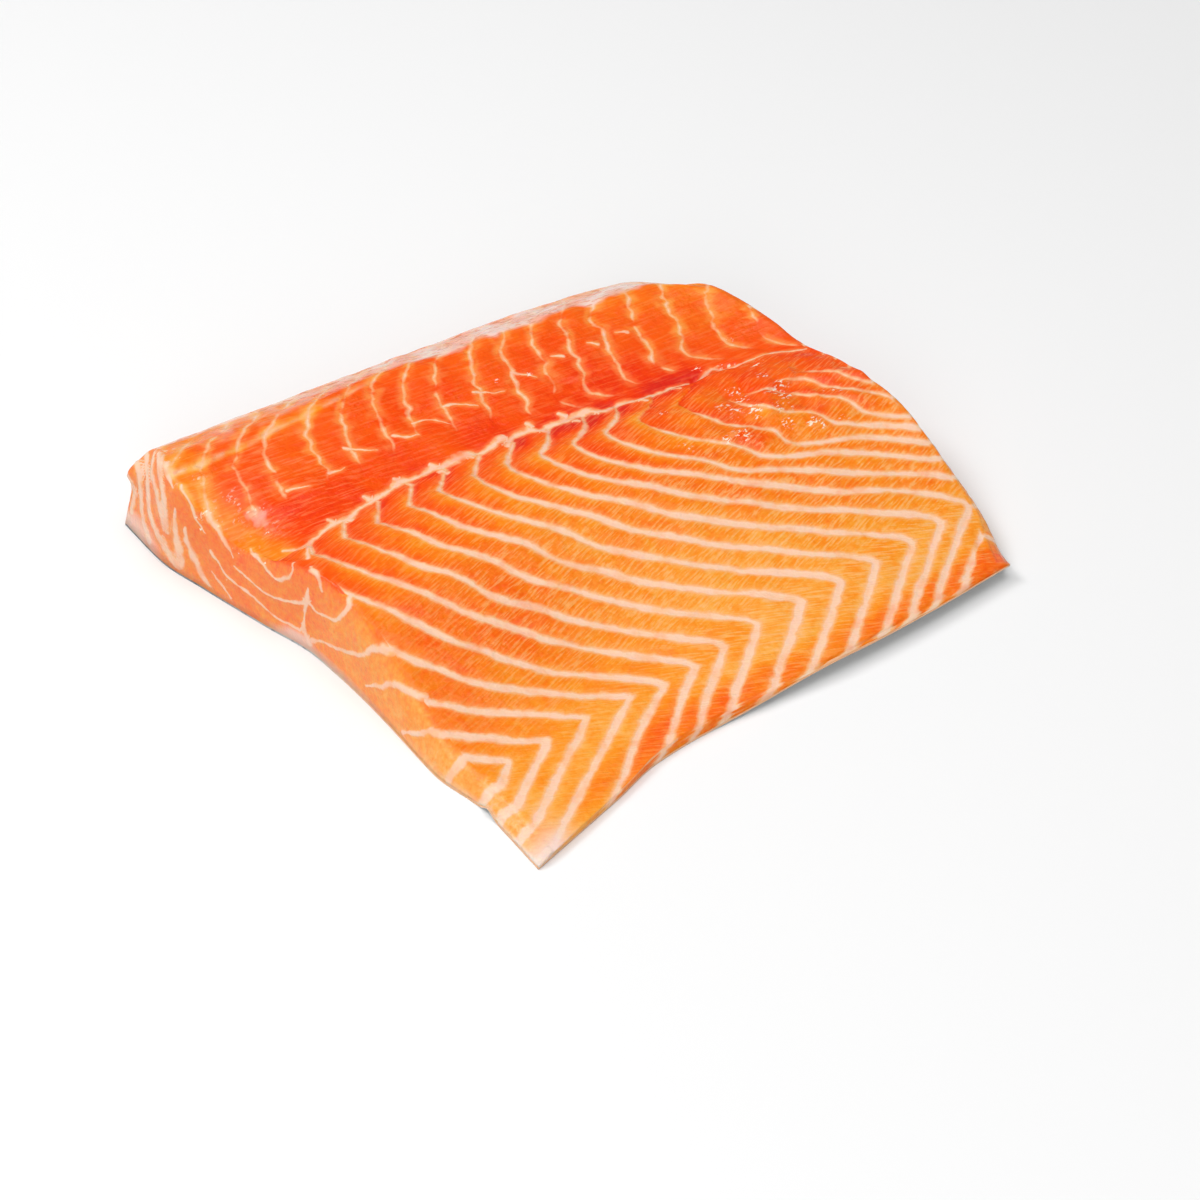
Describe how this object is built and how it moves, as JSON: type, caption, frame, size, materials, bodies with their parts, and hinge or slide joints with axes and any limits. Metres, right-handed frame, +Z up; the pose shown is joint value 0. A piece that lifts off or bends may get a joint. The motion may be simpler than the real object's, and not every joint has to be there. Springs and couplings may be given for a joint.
{
  "type": "raw salmon fillet",
  "caption": "Section of a raw salmon fillet lying on its skin: thick rounded back, midline groove, muscle blocks in chevrons and a thin belly edge that curls up at the tail end",
  "frame": {"origin": "middle of the footprint, on the surface that the skin lies on", "axes": "+X along the fish from the head end's cut to the tail end's cut, +Y across from the thin belly edge to the thick back, +Z up out of the flesh"},
  "size_m": [0.254, 0.235, 0.0368],
  "materials": {
    "flesh": "moist orange muscle with pale fat lines",
    "skin": "moist silver-grey scaled skin"
  },
  "bodies": {
    "root": {"flesh": "flesh", "skin": "skin"}
  },
  "joints": []
}
